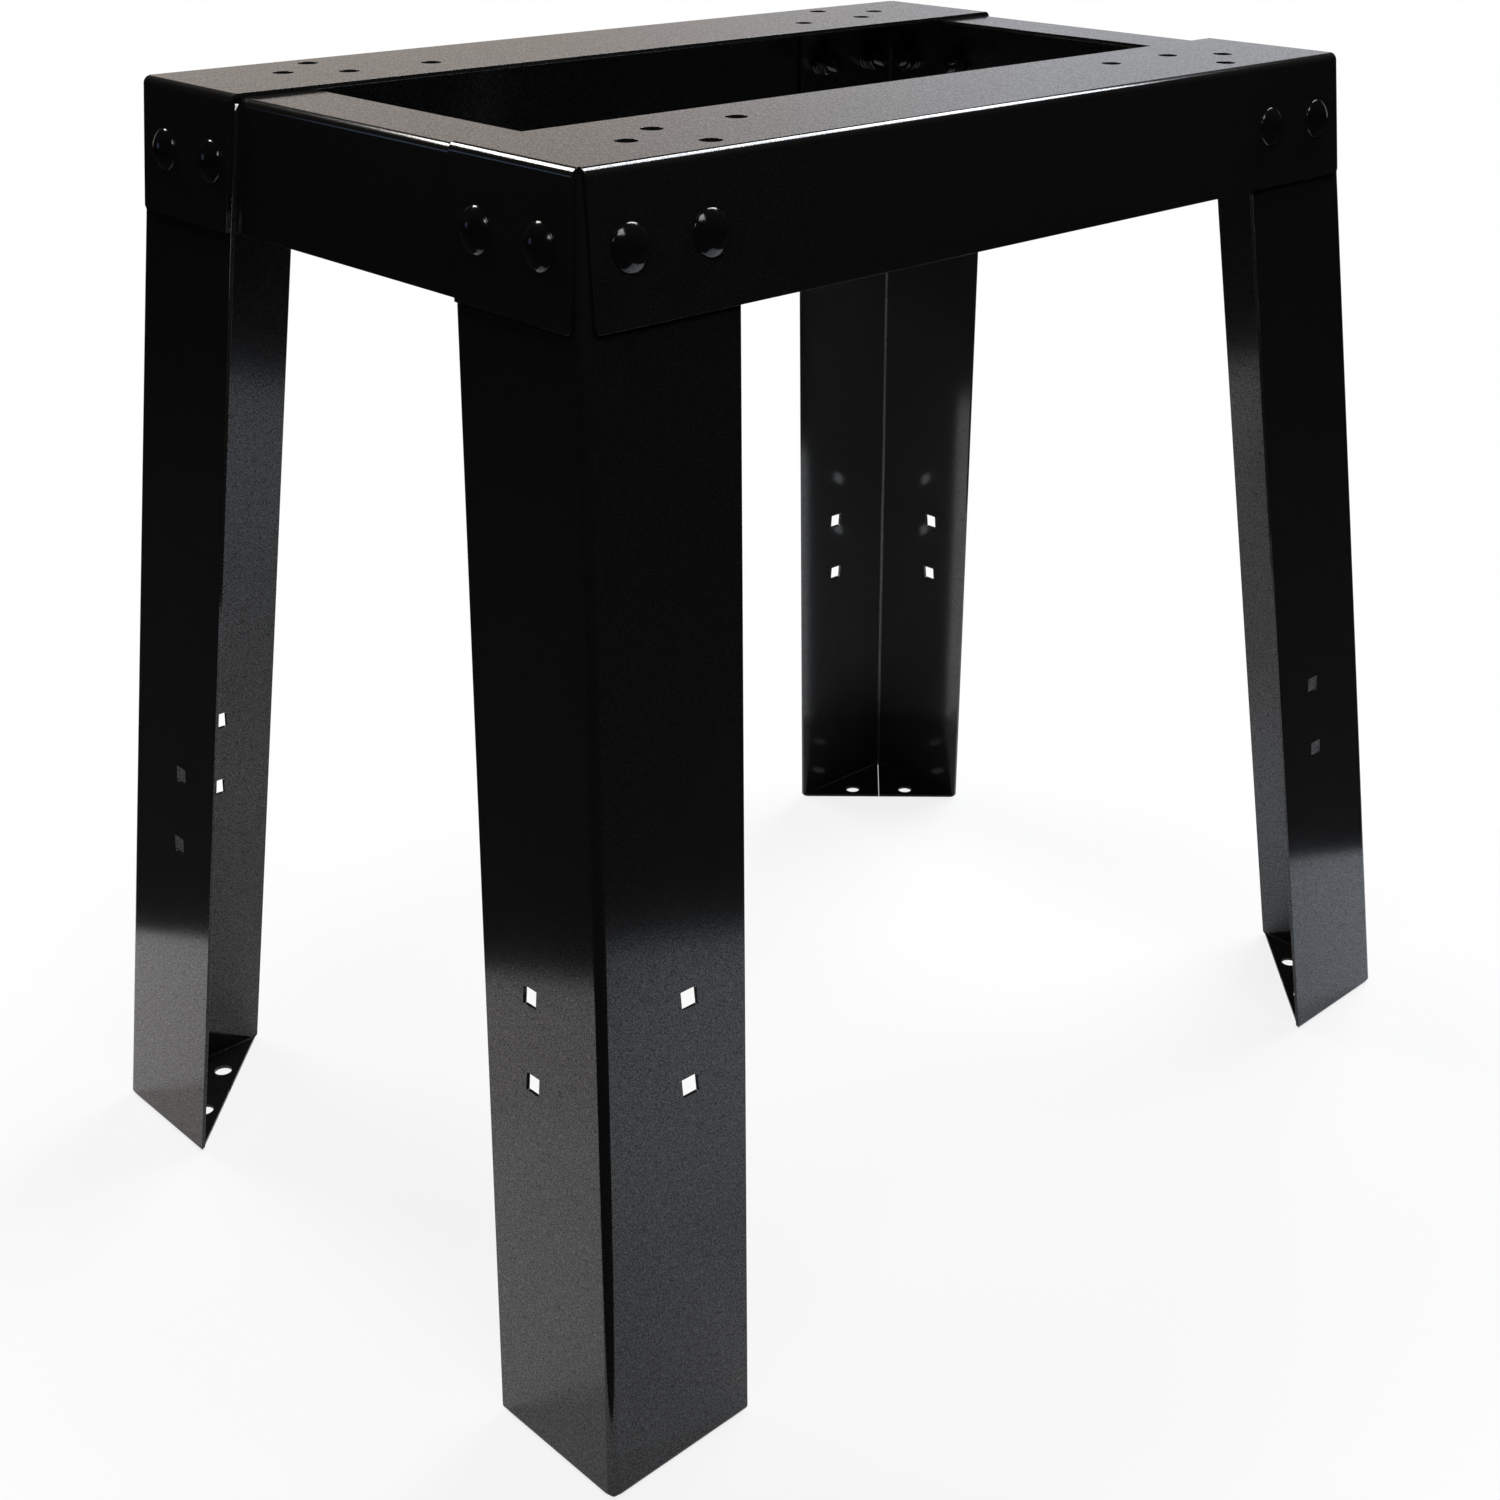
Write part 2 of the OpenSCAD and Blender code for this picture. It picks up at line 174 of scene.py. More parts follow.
# %% Rings and faces of the sheet
def folded_sheet(loops, lines, fold):
    """One closed sheet. The loops are its outline and its holes, the lines are edges along its folds.
    Rings run round each loop: a flat band, a quarter round, the wall, and the same again. A ring's
    normal turns from the sheet's normal over the outward direction of the edge to the back."""
    turn = np.linspace(0, np.pi / 2, 4)
    rings = [(EASE + BAND, 0.0, 0.0)]
    rings += [(EASE * (1 - np.sin(t)), EASE * (1 - np.cos(t)), t) for t in turn]
    rings += [(inset, SHEET - depth, np.pi - t) for inset, depth, t in reversed(rings)]
    points, normals, faces, caps, start = [], [], [], [[], []], 0
    for loop in loops:
        count = len(loop)
        ahead = unit(unit(np.roll(loop, -1, axis=0) - loop) + unit(loop - np.roll(loop, 1, axis=0)))
        for inset, depth, t in rings:
            flat = loop + into_material(loop) * inset
            if inset > EASE:
                caps[int(depth > 0)].append(flat)
            level = np.full(count, depth)
            along = fold(flat + ahead * TINY, level) - fold(flat - ahead * TINY, level)
            face = outward(fold, flat, level)
            points.append(fold(flat, level))
            normals.append(face * np.cos(t) + unit(np.cross(along, face)) * np.sin(t))
        index = np.arange(count)
        near = start + np.arange(len(rings) - 1)[:, None] * count
        a, b = near + index, near + (index + 1) % count
        faces.append(np.stack([a + count, b + count, b, a], -1).reshape(-1, 4))
        start += count * len(rings)
    triangles = []
    first = np.cumsum([0] + [len(loop) * len(rings) for loop in loops])[:-1]
    for side, depth in ((0, 0.0), (1, SHEET)):
        extra, made = fill_flat(caps[side], lines)
        last = side * (len(rings) - 1)
        number = [at + last * len(loop) + np.arange(len(loop)) for at, loop in zip(first, loops)]
        number = np.concatenate(number + [start + np.arange(len(extra))])
        level = np.full(len(extra), depth)
        points.append(fold(extra, level))
        normals.append(outward(fold, extra, level) * (1 - 2 * side))
        start += len(extra)
        made = number[made]
        triangles.append(made if side == 0 else made[:, ::-1])
    return tuple(np.concatenate(part) for part in (points, faces, triangles, normals))


# %% Put a piece into the scene
SHARP = math.radians(35)


def make_piece(name, points, quads, triangles, normals=None, flip=(1, 1)):
    """Puts arrays into a smooth-shaded mesh in metres. flip mirrors it in X and Y, and each mirroring
    turns the faces round again. Without given normals, edges sharper than SHARP stay sharp."""
    mirror = np.array([flip[0], flip[1], 1.0])
    faces = [quads, triangles]
    if flip[0] * flip[1] < 0:
        faces = [f[:, ::-1] for f in faces]
    mesh = bpy.data.meshes.new(name)
    mesh.from_pydata((points * mirror * MM).tolist(), [], [row for f in faces for row in f.tolist()])
    mesh.polygons.foreach_set("use_smooth", np.ones(len(mesh.polygons), bool))
    mesh.validate()
    if normals is None:
        mesh.set_sharp_from_angle(angle=SHARP)
    else:
        mesh.normals_split_custom_set_from_vertices((normals * mirror).tolist())
    piece = bpy.data.objects.new(name, mesh)
    bpy.context.scene.collection.objects.link(piece)
    return piece


print("edges eased by", EASE, "mm, with a flat band of", BAND, "mm")

# %% [markdown]
# ## The cross-section of a folded edge
# All four rails share one fold. Along the pattern's second axis the sheet runs flat, turns round the
# fold, and goes straight down the leaning side.

# %% The folded edge
def edge_section(run, depth):
    """Inward distance from the sharp corner, and height, for a distance run past the top fold line.
    Round the fold the point turns about the fold's axis with radius FOLD_R - depth."""
    turn = np.clip(run / FOLD_R, 0, SIDE_TURN)
    down = np.maximum(run - SIDE_ARC, 0)
    inward = SETBACK - np.minimum(run, 0) - (FOLD_R - depth) * np.sin(turn) - down * math.cos(SIDE_TURN)
    height = (FOLD_R - depth) * np.cos(turn) - FOLD_R - down * math.sin(SIDE_TURN)
    return inward, height


FOLD_STEPS = 14
FOLD_RUNS = np.linspace(0, SIDE_ARC, FOLD_STEPS + 1)
GUARDED_RUNS = np.concatenate([[-BAND], FOLD_RUNS, [SIDE_ARC + BAND]])


def side_holes(centres, maker, size, slope_origin=0.0):
    """Holes in a leaning side, at the bolts' distance down the slope."""
    run = SIDE_ARC + BOLT_DROP / math.cos(SPLAY) - slope_origin - SETBACK
    return [maker(np.array([c, SETBACK - run]), size) for c in centres]


print("end of the side, inwards and up:", [round(float(v), 2) for v in edge_section(SIDE_END, 0.0)])

# %% [markdown]
# ## The long rails
# Each is one sheet with a wide flange, a side skirt, and a tab folded down at each end. Skirt and tab
# are cut straight and stop short of the corner, so a narrow V stays open between them. It starts in a
# round relief hole where the two folds would cross, and shows that the corner is folded, not welded.

# %% The flat pattern of a long rail
FLANGE, RELIEF, BEVEL = 84.0, 1.0, 2.0
RELIEF_FROM, RELIEF_TO = math.radians(150), math.radians(-60)
CORNER_CUT, CLEAR = 7.0, 1.4
CUT_LOW = CORNER_CUT - DROP * LEAN


def cut_line(run):
    """How far in a side's end lies: from the fold line straight to CUT_LOW at the lower end."""
    height = edge_section(run, 0.0)[1]
    return SETBACK + (SETBACK - CUT_LOW) * height / DROP


def cut_edge():
    """The end of a skirt or tab, from the relief hole over the fold to the bevel at the lower end."""
    beside_hole = FOLD_RUNS[FOLD_RUNS > RELIEF + EASE + BAND]
    run = np.concatenate([[RELIEF], beside_hole, [SIDE_END - BEVEL, SIDE_END]])
    inset = cut_line(run)
    inset[-1] += BEVEL
    return run, inset


def tab_end(run):
    """The tab's inner edge runs parallel to the line of the corner."""
    height = edge_section(run, 0.0)[1]
    return FLANGE + LEAN * height


def rail_outline():
    """Left half of the outline: the tab's inner edge, the tab's cut end, the relief hole over three
    quarters of a circle, and the skirt's cut end. Then the same mirrored."""
    run, inset = cut_edge()
    tab_run = np.concatenate([[-2 * BAND], GUARDED_RUNS, [SIDE_END / 2, SIDE_END]])
    turn = np.linspace(RELIEF_FROM, RELIEF_TO, 13)
    rows = [
        np.column_stack([SETBACK - tab_run, tab_end(tab_run)]),
        np.column_stack([SETBACK - run, inset])[::-1],
        np.column_stack([np.cos(turn), np.sin(turn)]) * RELIEF + SETBACK,
        np.column_stack([inset, SETBACK - run]),
    ]
    left = np.concatenate(rows)
    left[:, 0] -= LONG / 2
    return np.concatenate([left, (left * [-1, 1])[::-1]])


# %% Fold and make the long rail
def rail_fold(flat, depth):
    """Folds the pattern: tabs where a point is nearer the end than the front, else flange and skirt."""
    end = np.abs(flat[:, 0]) - LONG / 2
    side = np.where(flat[:, 0] < 0, -1.0, 1.0)
    front = flat[:, 1]
    is_tab = (-end < SETBACK) & (-end < front)
    skirt_in, skirt_z = edge_section(SETBACK - front, depth)
    tab_in, tab_z = edge_section(SETBACK + end, depth)
    x = np.where(is_tab, side * (LONG / 2 - tab_in), flat[:, 0])
    y = np.where(is_tab, front, skirt_in) - WIDE / 2
    return np.column_stack([x, y, HIGH + np.where(is_tab, tab_z, skirt_z)])


def rail_lines():
    """Lines along the three folds, which end CLEAR before the sheet's edges."""
    near = SETBACK + RELIEF + CLEAR
    x = LONG / 2 - near
    lines = []
    for run in GUARDED_RUNS:
        lines.append(np.array([[-x, SETBACK - run], [x, SETBACK - run]]))
        far = float(tab_end(np.array([run]))[0]) - CLEAR
        for side in (-1, 1):
            x_end = side * (LONG / 2 - SETBACK + run)
            lines.append(np.array([[x_end, near], [x_end, far]]))
    return lines


# Holes for the tool's bolts: distance from the end, distance from the outer side
TOOL_HOLES = [(55, 38), (82, 16.5), (82, 54), (130, 54)]
bolt_x = [LONG / 2 - BOLT_EDGE - i * BOLT_PITCH for i in (0, 1)]
rail_holes = [ring_hole(np.array([s * (LONG / 2 - a), b]), LARGE_HOLE)
              for a, b in TOOL_HOLES for s in (-1, 1)]
rail_holes += side_holes([s * x for x in bolt_x for s in (-1, 1)], square_hole, SQUARE_HOLE)
tab_run = SIDE_ARC + BOLT_DROP / math.cos(SPLAY) - SETBACK
rail_holes += [square_hole(np.array([s * (LONG / 2 - SETBACK + tab_run), BOLT_EDGE + i * BOLT_PITCH]),
                           SQUARE_HOLE) for i in (0, 1) for s in (-1, 1)]
rail_mesh = folded_sheet([rail_outline()] + rail_holes, rail_lines(), rail_fold)
print("long rail:", len(rail_mesh[0]), "points")

# %% [markdown]
# ## The end rails
# They are plain angles with one fold, slipped under the long rails' flanges and inside the legs. The
# same fold makes them, one sheet thickness lower and turned to run along Y.

# %% The flat pattern of an end rail
END_FLANGE, END_GAP = 44.0, 9.0
END_HALF = WIDE / 2 - END_GAP
END_CORNER = -LEAN * SHEET + 2 * SHEET / math.cos(SPLAY)


def end_fold(flat, depth):
    """Folds an end rail: the pattern's first axis runs towards the front, the second inwards."""
    inward, height = edge_section(SETBACK - flat[:, 1], depth)
    x = inward + END_CORNER - LONG / 2
    return np.column_stack([x, -flat[:, 0], HIGH - SHEET + height])


end_down = (DROP - SHEET) / math.cos(SPLAY)
end_low = SETBACK - (SIDE_ARC + end_down - SETBACK)
end_runs = SETBACK - GUARDED_RUNS
end_top = END_FLANGE - END_CORNER
side_down = np.concatenate([[end_top], end_runs, [end_low]])
end_outline = np.concatenate([
    np.column_stack([np.full(len(side_down), -END_HALF), side_down]),
    np.column_stack([np.full(len(side_down), END_HALF), side_down])[::-1],
])
slope_origin = SHEET * math.cos(SPLAY) - END_CORNER * math.sin(SPLAY)
bolt_y = [WIDE / 2 - BOLT_EDGE - i * BOLT_PITCH for i in (0, 1)]
end_holes = side_holes([s * y for y in bolt_y for s in (-1, 1)], ring_hole, ROUND_HOLE, slope_origin)
end_lines = [np.array([[-END_HALF + CLEAR, v], [END_HALF - CLEAR, v]]) for v in end_runs]
end_mesh = folded_sheet([end_outline] + end_holes, end_lines, end_fold)
print("end rail:", len(end_mesh[0]), "points")

# %% [markdown]
# ## The legs
# A leg is one sheet too: an angle whose corner leans in along the diagonal, and two three-cornered
# flaps folded in at the floor and mitred. On the pattern the first number runs round the corner and the
# second down the leg. A level cut through a leg has the same shape at every height and only slides
# inwards, which makes the folding rule short.

# %% The folding rule of a leg
TOP_GAP = 0.5
LEG_TOP = HIGH - FOLD_R - TOP_GAP
FOOT_R = 3.0
FOOT_TURN = math.pi / 2 + SPLAY
FOOT_SETBACK = FOOT_R * math.tan(FOOT_TURN / 2)
FOOT_ARC = FOOT_R * FOOT_TURN
FOOT_Z = FOOT_SETBACK * math.cos(SPLAY)
CORNER_R = FOLD_R / math.cos(SPLAY)
CORNER_ARC = CORNER_R * math.pi / 2
LEG_FLANGE = 82.5
LEG_W = LEG_FLANGE * math.sqrt(1 + math.sin(SPLAY) ** 2)
FOOT_SLIT = 0.3


def foot_section(run, depth):
    """Extra inward distance and height for a distance run past the foot's fold line: straight up the
    face, round the fold, then level across the flap."""
    turn = np.clip(run / FOOT_R, 0, FOOT_TURN) - SPLAY
    up, across = np.maximum(-run, 0), np.maximum(run - FOOT_ARC, 0)
    inward = FOOT_SETBACK - (FOOT_R - depth) * np.cos(turn) + across + up * math.sin(SPLAY)
    height = FOOT_R - (FOOT_R - depth) * np.sin(turn) + up * math.cos(SPLAY)
    return inward - LEAN * height, height


def leg_fold(flat, depth):
    """A point of the level outline, plus the inward push along the face's direction, plus the slide
    that comes with height."""
    around = np.clip(flat[:, 0] / CORNER_ARC + 0.5, 0, 1) * np.pi / 2
    along_a = np.maximum(-flat[:, 0] - CORNER_ARC / 2, 0)
    along_b = np.maximum(flat[:, 0] - CORNER_ARC / 2, 0)
    push, height = foot_section(-flat[:, 1], depth)
    x = CORNER_R + along_b + (push - CORNER_R) * np.cos(around) + LEAN * height
    y = CORNER_R + along_a + (push - CORNER_R) * np.sin(around) + LEAN * height
    return np.column_stack([x - FOOT_X, y - FOOT_Y, height])


print("leg flange on the pattern:", round(LEG_W, 2), "mm, foot fold:", round(FOOT_ARC, 2), "mm")

# %% [markdown]
# ## The flat pattern of a leg
# The outline is the same on both sides of the corner line, so half of it is enough. The flaps part
# along the mitre, which starts at the toe, the bent end of the corner. At the top the corner keeps a low
# tongue, where no fold of the rail is in its way, so that no light shows through. The holes are drawn
# upright in the leaning face and then sheared into the pattern, whose lines follow the corner.

# %% The flat pattern of a leg
TOE_RUN = 0.85 * FOOT_ARC
FOOT_RUNS = np.linspace(0, FOOT_ARC, 11)
GUARDED_FOOT = np.concatenate([[-BAND], FOOT_RUNS, [FOOT_ARC + BAND]])
leg_top_v = (LEG_TOP - FOOT_Z) / math.cos(SPLAY)
TONGUE, TONGUE_SIDE = 2.1, 0.9
MITRE_CLEAR, TOE_NOTCH, FOOT_CLEAR, CUT_STEPS = 0.6, (0.3, 0.2), 1.8, 12


def leg_half_outline():
    """Half of the outline: toe, mitre, slanted edge of the flap, free edge, top, and the tongue."""
    slit = FOOT_SLIT / math.sqrt(2)
    base = CORNER_ARC / 2 - CORNER_R
    deep = np.linspace(CORNER_R + MITRE_CLEAR, (LEG_W - slit) / 2, CUT_STEPS)
    mitre = np.column_stack([base + deep + slit, -(FOOT_ARC + deep - FOOT_SETBACK)])
    back = np.linspace((LEG_W - slit) / 2, FOOT_SETBACK + BAND, CUT_STEPS)[1:]
    slant = np.column_stack([base + LEG_W - back, -(FOOT_ARC + back - FOOT_SETBACK)])
    runs = GUARDED_FOOT[::-1][1:]
    push = foot_section(runs, 0.0)[0]
    bend = np.column_stack([base + LEG_W - np.maximum(push, 0), -runs])
    toe = np.array([[CORNER_ARC / 4, -TOE_RUN], [CORNER_ARC / 2, -TOE_RUN]])
    notch = np.array([[CORNER_ARC / 2 + TOE_NOTCH[0], -(FOOT_ARC + TOE_NOTCH[1])]])
    top = np.array([[base + LEG_W, leg_top_v / 2], [base + LEG_W, leg_top_v],
                    [CORNER_ARC / 2, leg_top_v], [CORNER_ARC / 2 - TONGUE_SIDE, leg_top_v],
                    [CORNER_ARC / 4, leg_top_v + TONGUE]])
    return np.concatenate([toe, notch, mitre, slant, bend, top])


half = leg_half_outline()
leg_outline = np.concatenate([half, [[0, leg_top_v + TONGUE]], (half * [-1, 1])[::-1], [[0, -TOE_RUN]]])


# %% The holes of a leg, and its mesh
def on_face(across, z, side, maker, size):
    """A hole at a distance across from the corner line. Shear: the first number loses the lean times
    the height above the hole's middle."""
    hole = maker(np.array([0.0, 0.0]), size)
    slide = LEAN * math.cos(SPLAY) * hole[:, 1]
    a = CORNER_ARC / 2 - CORNER_R + across + hole[:, 0] - slide
    v = (z - FOOT_Z) / math.cos(SPLAY) + hole[:, 1]
    loop = np.column_stack([a * side, v])
    return loop if side > 0 else loop[::-1]


SHELF_IN, SHELF_Z, SHELF_PITCH = 49.7, 184.4, 41.8
ANCHOR_ALONG, ANCHOR_IN = 49.0, 21.0
bolt_z = HIGH - BOLT_DROP - SHEET * math.sin(SPLAY)
leg_holes = []
for side, foot, half_size in ((1, FOOT_X, LONG / 2), (-1, FOOT_Y, WIDE / 2)):
    for i in (0, 1):
        across = foot - (half_size - BOLT_EDGE - i * BOLT_PITCH) - LEAN * bolt_z
        leg_holes.append(on_face(across, bolt_z, side, square_hole, SQUARE_HOLE))
        leg_holes.append(on_face(SHELF_IN, SHELF_Z + i * SHELF_PITCH, side, square_hole, SQUARE_HOLE))
    anchor_a = (CORNER_ARC / 2 - CORNER_R + ANCHOR_ALONG) * side
    leg_holes.append(ring_hole(np.array([anchor_a, -(FOOT_ARC + ANCHOR_IN - FOOT_SETBACK)]), LARGE_HOLE))

corner_a = np.linspace(-CORNER_ARC / 2, CORNER_ARC / 2, 13)
guard_a = np.concatenate([[corner_a[0] - BAND], corner_a, [corner_a[-1] + BAND]])
leg_lines = [np.array([[a, -2 * BAND], [a, 0.0], [a, BAND], [a, leg_top_v - CLEAR]]) for a in guard_a]
foot_line_end = CORNER_ARC / 2 - CORNER_R + LEG_W - FOOT_SETBACK - FOOT_CLEAR
for run in GUARDED_FOOT:
    for side in (-1, 1):
        ends = np.array([CORNER_ARC / 2 + FOOT_CLEAR, foot_line_end])
        leg_lines.append(np.column_stack([ends * side, [-run, -run]]))
leg_mesh = folded_sheet([leg_outline] + leg_holes, leg_lines, leg_fold)
print("leg:", len(leg_mesh[0]), "points")

# %% [markdown]
# ## The eight steel parts
# The stand is the same on both sides of its middle planes, so one rail, one end rail and one leg are
# enough, mirrored in their points and not by a negative scale. Each takes the place of its CAD node,
# and the printed lines show how far its box is from that node's. Only the leg's tongue, 2 mm high,
# stands past it, still inside the stand.

# %% Place the steel parts
steel = {}
for name, flip in (("front_rail", (1, 1)), ("back_rail", (1, -1))):
    steel[name] = make_piece(name + "_sheet", *rail_mesh, flip=flip)
for name, flip in (("left_end_rail", (1, 1)), ("right_end_rail", (-1, 1))):
    steel[name] = make_piece(name + "_sheet", *end_mesh, flip=flip)
CORNERS = {"front_left": (1, 1), "front_right": (-1, 1), "back_left": (1, -1), "back_right": (-1, -1)}
for corner, flip in CORNERS.items():
    steel[corner + "_leg"] = make_piece(corner + "_leg_sheet", *leg_mesh, flip=flip)
for node, piece in steel.items():
    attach(piece, "root")
    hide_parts(node)
for node in ("front_rail", "left_end_rail", "front_left_leg"):
    low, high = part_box(node)
    mine = np.array([v.co for v in steel[node].data.vertices])
    off = np.array([mine.min(0) - low, mine.max(0) - high]) / MM
    print(node, "off by mm", off.round(2).tolist())

# %% [markdown]
# ## The fasteners
# Domed carriage bolts hold each corner: their square necks sit in square holes, and inside the frame
# each has a flat washer, a split spring washer and a nut. They could be lathed with a Screw modifier,
# but here each is a grid, angle by row, so the square neck, the thread and the six flats come from the
# same rule: a radius for every angle and every row.

# %% Turned shapes
def turned(radius, height, pole_top, pole_end):
    """Rings round the Z axis: radius times cosine and sine of the angle, at each row's height. The
    poles are the heights of the two points that close it."""
    rows, steps = radius.shape
    turn = np.linspace(0, 2 * np.pi, steps, endpoint=False)
    grid = np.stack([radius * np.cos(turn), radius * np.sin(turn), height], -1).reshape(-1, 3)
    points = np.concatenate([grid, [[0, 0, pole_top], [0, 0, pole_end]]])
    a = np.arange(rows - 1)[:, None] * steps + np.arange(steps)
    b = np.arange(rows - 1)[:, None] * steps + (np.arange(steps) + 1) % steps
    quads = np.stack([a, a + steps, b + steps, b], -1).reshape(-1, 4)
    ring, after = np.arange(steps), (np.arange(steps) + 1) % steps
    last = (rows - 1) * steps
    top = np.column_stack([np.full(steps, rows * steps), ring, after])
    end = np.column_stack([np.full(steps, rows * steps + 1), last + after, last + ring])
    return points, quads, np.concatenate([top, end])


def ring_of(section_r, section_z):
    """A closed ring: radius times cosine and sine of the angle, its last row joined to the first."""
    rows, steps = section_r.shape
    turn = np.linspace(0, 2 * np.pi, steps, endpoint=False)
    grid = np.stack([section_r * np.cos(turn), section_r * np.sin(turn), section_z], -1)
    k, j = np.arange(rows)[:, None], np.arange(steps)
    a, b = k * steps + j, k * steps + (j + 1) % steps
    c, d = (k + 1) % rows * steps + (j + 1) % steps, (k + 1) % rows * steps + j
    return grid.reshape(-1, 3), np.stack([a, d, c, b], -1).reshape(-1, 4), np.zeros((0, 3), int)


def rows_of(values, steps):
    """One row for each value, with the value repeated at every step."""
    return np.repeat(np.asarray(values, float)[:, None], steps, axis=1)


# %% A carriage bolt
HEAD_R, HEAD_H, HEAD_RIM, HEAD_EASE, CROWN = 10.0, 4.4, 0.6, 0.15, 0.06
NECK, NECK_CORNER, NECK_FLARE = 8.5, 1.3, 0.2
BOLT_R, BOLT_LONG, PITCH, THREAD_DIP, THREAD_ROWS = 4.0, 20.0, 1.25, 0.32, 8
# The tip: height of each ring above the end, and how far it draws in
TIP_Z, TIP_R = np.array([0.7, 0.1, 0.0]), np.array([0.5, 0.9, 1.1])


def carriage_bolt(hand):
    """Head: a sphere through rim and crown. Neck: half the width over the larger of cosine and sine.
    Thread: the radius dips once per pitch, and the dip climbs once per turn."""
    steps = 48
    turn = np.linspace(0, 2 * np.pi, steps, endpoint=False)
    dome = HEAD_H - HEAD_RIM
    ball = (HEAD_R ** 2 + dome ** 2) / (2 * dome)
    lean = np.linspace(CROWN, 1, 14) * math.asin((HEAD_R - HEAD_EASE) / ball)
    head_r = np.concatenate([ball * np.sin(lean), [HEAD_R, HEAD_R, HEAD_R - HEAD_EASE, HEAD_R - 0.4]])
    head_z = np.concatenate([HEAD_H - ball + ball * np.cos(lean), [HEAD_RIM - 0.1, HEAD_EASE, 0.0, 0.0]])
    square = NECK / 2 / np.maximum(np.abs(np.cos(turn)), np.abs(np.sin(turn)))
    square = np.minimum(square, NECK / 2 * NECK_CORNER)
    neck_r = np.stack([square + NECK_FLARE, square, square, square, square - NECK_FLARE])
    neck_z = rows_of([0, -NECK_FLARE, -0.5, NECK_FLARE - 2 * SHEET, -2 * SHEET], steps)
    z = np.arange(-2 * SHEET - 0.1, -BOLT_LONG + 0.8, -PITCH / THREAD_ROWS)
    wave = np.cos(2 * np.pi * z[:, None] / PITCH + hand * turn)
    fade = np.clip((-2 * SHEET - 1 - z) / 2, 0, 1)[:, None]
    thread_r = BOLT_R - 0.02 - THREAD_DIP * fade * (1 + wave)
    radius = np.concatenate([rows_of(head_r, steps), neck_r, thread_r, rows_of(BOLT_R - TIP_R, steps)])
    z = np.concatenate([z, TIP_Z - BOLT_LONG])
    height = np.concatenate([rows_of(head_z, steps), neck_z, rows_of(z, steps)])
    return turned(radius, height, HEAD_H, -BOLT_LONG)


print("bolt:", len(carriage_bolt(1)[0]), "points")

# %% [markdown]
# ## Washers and nuts
# From below they are in plain view. The washers are rings of one section. The spring washer's ring
# stays open, and a few triangles close its two ends. The nut's section changes with the angle, as its
# flats do. hand is -1 where a part will be mirrored, so that thread and split run the right way.

# %% Washers and nut
WASHER_R, WASHER_H, LOCK_R, LOCK_H, LOCK_SPLIT = 8.0, 1.6, 7.2, 2.0, 1.4
NUT_FLATS, NUT_H, BORE_R, CONE, CONE_DEEP = 13.0, 6.5, BOLT_R + 0.05, 0.6, 0.7
CHAMFER = math.radians(30)
SPLIT_AT = math.radians(60)


def flat_washer(hand):
    """A ring of rectangular section with eased corners."""
    steps, e = 48, 0.25
    r = [BORE_R, BORE_R, BORE_R + e, WASHER_R - e, WASHER_R, WASHER_R, WASHER_R - e, BORE_R + e]
    z = [e - WASHER_H, -e, 0, 0, -e, e - WASHER_H, -WASHER_H, -WASHER_H]
    return ring_of(rows_of(r, steps), rows_of(z, steps))


def lock_washer(hand):
    """A bar of rectangular section carried round most of a circle, closed by a face at each end."""
    steps, e = 44, 0.2
    gap = LOCK_SPLIT / (LOCK_R + BORE_R)
    turn = hand * (SPLIT_AT + np.linspace(gap, 2 * np.pi - gap, steps))
    r = np.array([BORE_R, BORE_R, BORE_R + e, LOCK_R - e, LOCK_R, LOCK_R, LOCK_R - e, BORE_R + e])
    z = np.array([e - LOCK_H, -e, 0, 0, -e, e - LOCK_H, -LOCK_H, -LOCK_H])
    grid = np.stack([r[:, None] * np.cos(turn), r[:, None] * np.sin(turn),
                     z[:, None] + 0 * turn], -1).reshape(-1, 3)
    rows = len(r)
    k, j = np.arange(rows)[:, None], np.arange(steps - 1)
    a, b = k * steps + j, k * steps + j + 1
    c, d = (k + 1) % rows * steps + j + 1, (k + 1) % rows * steps + j
    quads = np.stack([a, d, c, b], -1).reshape(-1, 4)
    corner = np.array([[1, 0, 7], [1, 7, 2], [2, 7, 6], [2, 6, 3], [3, 6, 5], [3, 5, 4]]) * steps
    ends = np.concatenate([corner[:, ::-1], corner + steps - 1])
    if hand < 0:
        quads, ends = quads[:, ::-1], ends[:, ::-1]
    return grid, quads, ends


def hex_nut(hand):
    """Flats: half the width over the cosine of the angle from the middle of a flat. Both faces are
    turned down by CHAMFER, so the corners lose more height than the flats."""
    steps, e = 72, 0.15
    turn = np.linspace(0, 2 * np.pi, steps, endpoint=False)
    flat = NUT_FLATS / 2 / np.cos((turn + np.pi / 6) % (np.pi / 3) - np.pi / 6)
    rim = NUT_FLATS / 2 - 0.1
    cut = (flat - rim) * math.tan(CHAMFER) + e
    bore = rows_of([BORE_R, BORE_R, BORE_R + CONE, BORE_R + CONE + 0.2, rim - e, rim], steps)
    wall = np.stack([flat, flat, flat])
    r = np.concatenate([bore[1:], wall[:1], wall[:1], wall[:1], wall[:1], bore[:0:-1]])
    z = np.concatenate([rows_of([-CONE_DEEP, 0, 0, 0, -0.05], steps), [-cut, -cut - 0.3],
                        [cut + 0.3 - NUT_H, cut - NUT_H],
                        rows_of([0.05 - NUT_H, -NUT_H, -NUT_H, -NUT_H, CONE_DEEP - NUT_H], steps)])
    return ring_of(r, z)


for maker in (flat_washer, lock_washer, hex_nut):
    print(maker.__name__, len(maker(1)[0]), "points")

# %% [markdown]
# ## Four sets at each corner
# Two bolts go through the long side and two through the end, square to the leaning faces. At the end
# they hold one sheet more. One corner is worked out, and the other three are its mirror images.

